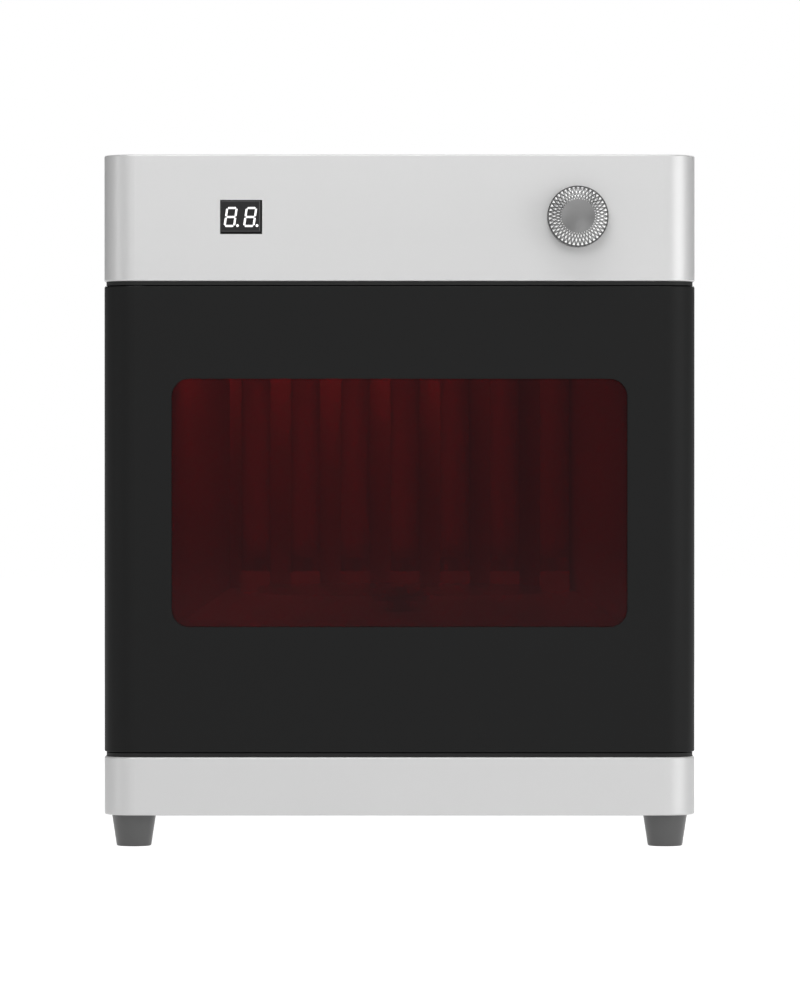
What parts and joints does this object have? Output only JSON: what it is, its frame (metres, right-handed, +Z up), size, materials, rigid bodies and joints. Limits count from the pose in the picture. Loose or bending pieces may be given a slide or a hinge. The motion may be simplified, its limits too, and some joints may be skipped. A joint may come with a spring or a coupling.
{
  "type": "uv curing chamber",
  "caption": "Bench-top UV curing chamber with a full-width hinged door, dark red window, lamp tubes along the back, turntable, display and control knob",
  "frame": {"origin": "on the table, under the middle of the whole object's bounding box", "axes": "+Z up, -Y is the front with the door and the knob, +X to the right seen from the front"},
  "size_m": [0.3, 0.3178, 0.3505],
  "materials": {
    "silver_paint": "satin silver powder coat",
    "charcoal_paint": "satin charcoal powder coat",
    "deck_paint": "matt dark grey",
    "black_plastic": "moulded, fine grain",
    "red_acrylic": "clear dark red acrylic",
    "reflector": "bright rolled aluminium sheet",
    "lamp_glass": "frosted tube",
    "lamp_cap": "drawn cap",
    "white_plastic": "heat-resistant moulding",
    "foot_rubber": "dark grey, satin",
    "seal_foam": "closed-cell foam",
    "steel": "zinc plated",
    "knob_metal": "turned and knurled, satin",
    "brass": "turned",
    "board": "solder-masked board",
    "display_face": "dark face with white digits",
    "platter_glass": "clear tempered glass"
  },
  "bodies": {
    "root": {"base_tray": "silver_paint", "catch_magnets": "steel", "control_board": "board", "display_module": "display_face", "door_sensor": "black_plastic", "encoder_body": "black_plastic", "encoder_nut": "brass", "fan_frame": "black_plastic", "fan_guard": "steel", "foot_front_left": "foot_rubber", "foot_front_right": "foot_rubber", "foot_rear_left": "foot_rubber", "foot_rear_right": "foot_rubber", "foot_screws": "steel", "frame_gasket": "seal_foam", "front_frame": "deck_paint", "hinge_pins": "steel", "hinge_post": "charcoal_paint", "housing_screws": "steel", "inlet_housing": "black_plastic", "inlet_pins": "brass", "lamp_ballasts": "steel", "lamp_end_caps": "lamp_cap", "lamp_sockets": "white_plastic", "latch_post": "charcoal_paint", "liner_back": "reflector", "liner_ceiling": "reflector", "liner_floor": "reflector", "liner_left": "reflector", "liner_right": "reflector", "lower_deck_plate": "deck_paint", "motor_bracket": "steel", "power_supply": "steel", "rear_panel": "charcoal_paint", "side_panel_left": "charcoal_paint", "side_panel_right": "charcoal_paint", "top_housing": "silver_paint", "turntable_motor": "steel", "upper_deck_plate": "deck_paint", "uv_lamp_1": "lamp_glass", "uv_lamp_2": "lamp_glass", "uv_lamp_3": "lamp_glass", "uv_lamp_4": "lamp_glass", "uv_lamp_5": "lamp_glass", "uv_lamp_6": "lamp_glass", "uv_lamp_7": "lamp_glass"},
    "door": {"door_shell": "charcoal_paint", "door_window": "red_acrylic", "window_frame": "black_plastic", "door_inner_cover": "black_plastic", "hinge_bushes": "brass", "strike_plates": "steel"},
    "turntable": {"turntable_platter": "platter_glass", "turntable_hub": "steel"},
    "fan_wheel": {"fan_rotor": "black_plastic"},
    "encoder_disc": {"encoder_rotor": "black_plastic"},
    "knob_shaft": {"knob": "knob_metal", "encoder_shaft": "steel"},
    "rocker": {"power_rocker": "black_plastic"},
    "fuse_holder": {"fuse_drawer": "black_plastic"}
  },
  "joints": [
    {"name": "door_hinge", "type": "hinge", "parent": "root", "child": "door", "pos_m": [-0.134, -0.1291, 0.166], "axis": [0, 0, -1], "range_deg": [0, 110]},
    {"name": "encoder_turn", "type": "hinge", "parent": "root", "child": "encoder_disc", "pos_m": [0.09, -0.1451, 0.3189], "axis": [0, 1, 0], "continuous": true},
    {"name": "knob_push", "type": "slide", "parent": "encoder_disc", "child": "knob_shaft", "axis": [0, 1, 0], "range_m": [0, 0.0005], "stiffness_N_per_m": 1500, "springref_m": -0.001},
    {"name": "turntable_spin", "type": "hinge", "parent": "root", "child": "turntable", "pos_m": [0, -0.0216, 0.126], "axis": [0, 0, 1], "continuous": true},
    {"name": "fan_spin", "type": "hinge", "parent": "root", "child": "fan_wheel", "pos_m": [-0.075, 0.1549, 0.3175], "axis": [0, 1, 0], "continuous": true},
    {"name": "power_switch", "type": "hinge", "parent": "root", "child": "rocker", "pos_m": [0.095, 0.1556, 0.1105], "axis": [1, 0, 0], "range_deg": [0, 20]},
    {"name": "fuse_slide", "type": "slide", "parent": "root", "child": "fuse_holder", "axis": [0, 1, 0], "range_m": [0, 0.014]}
  ]
}
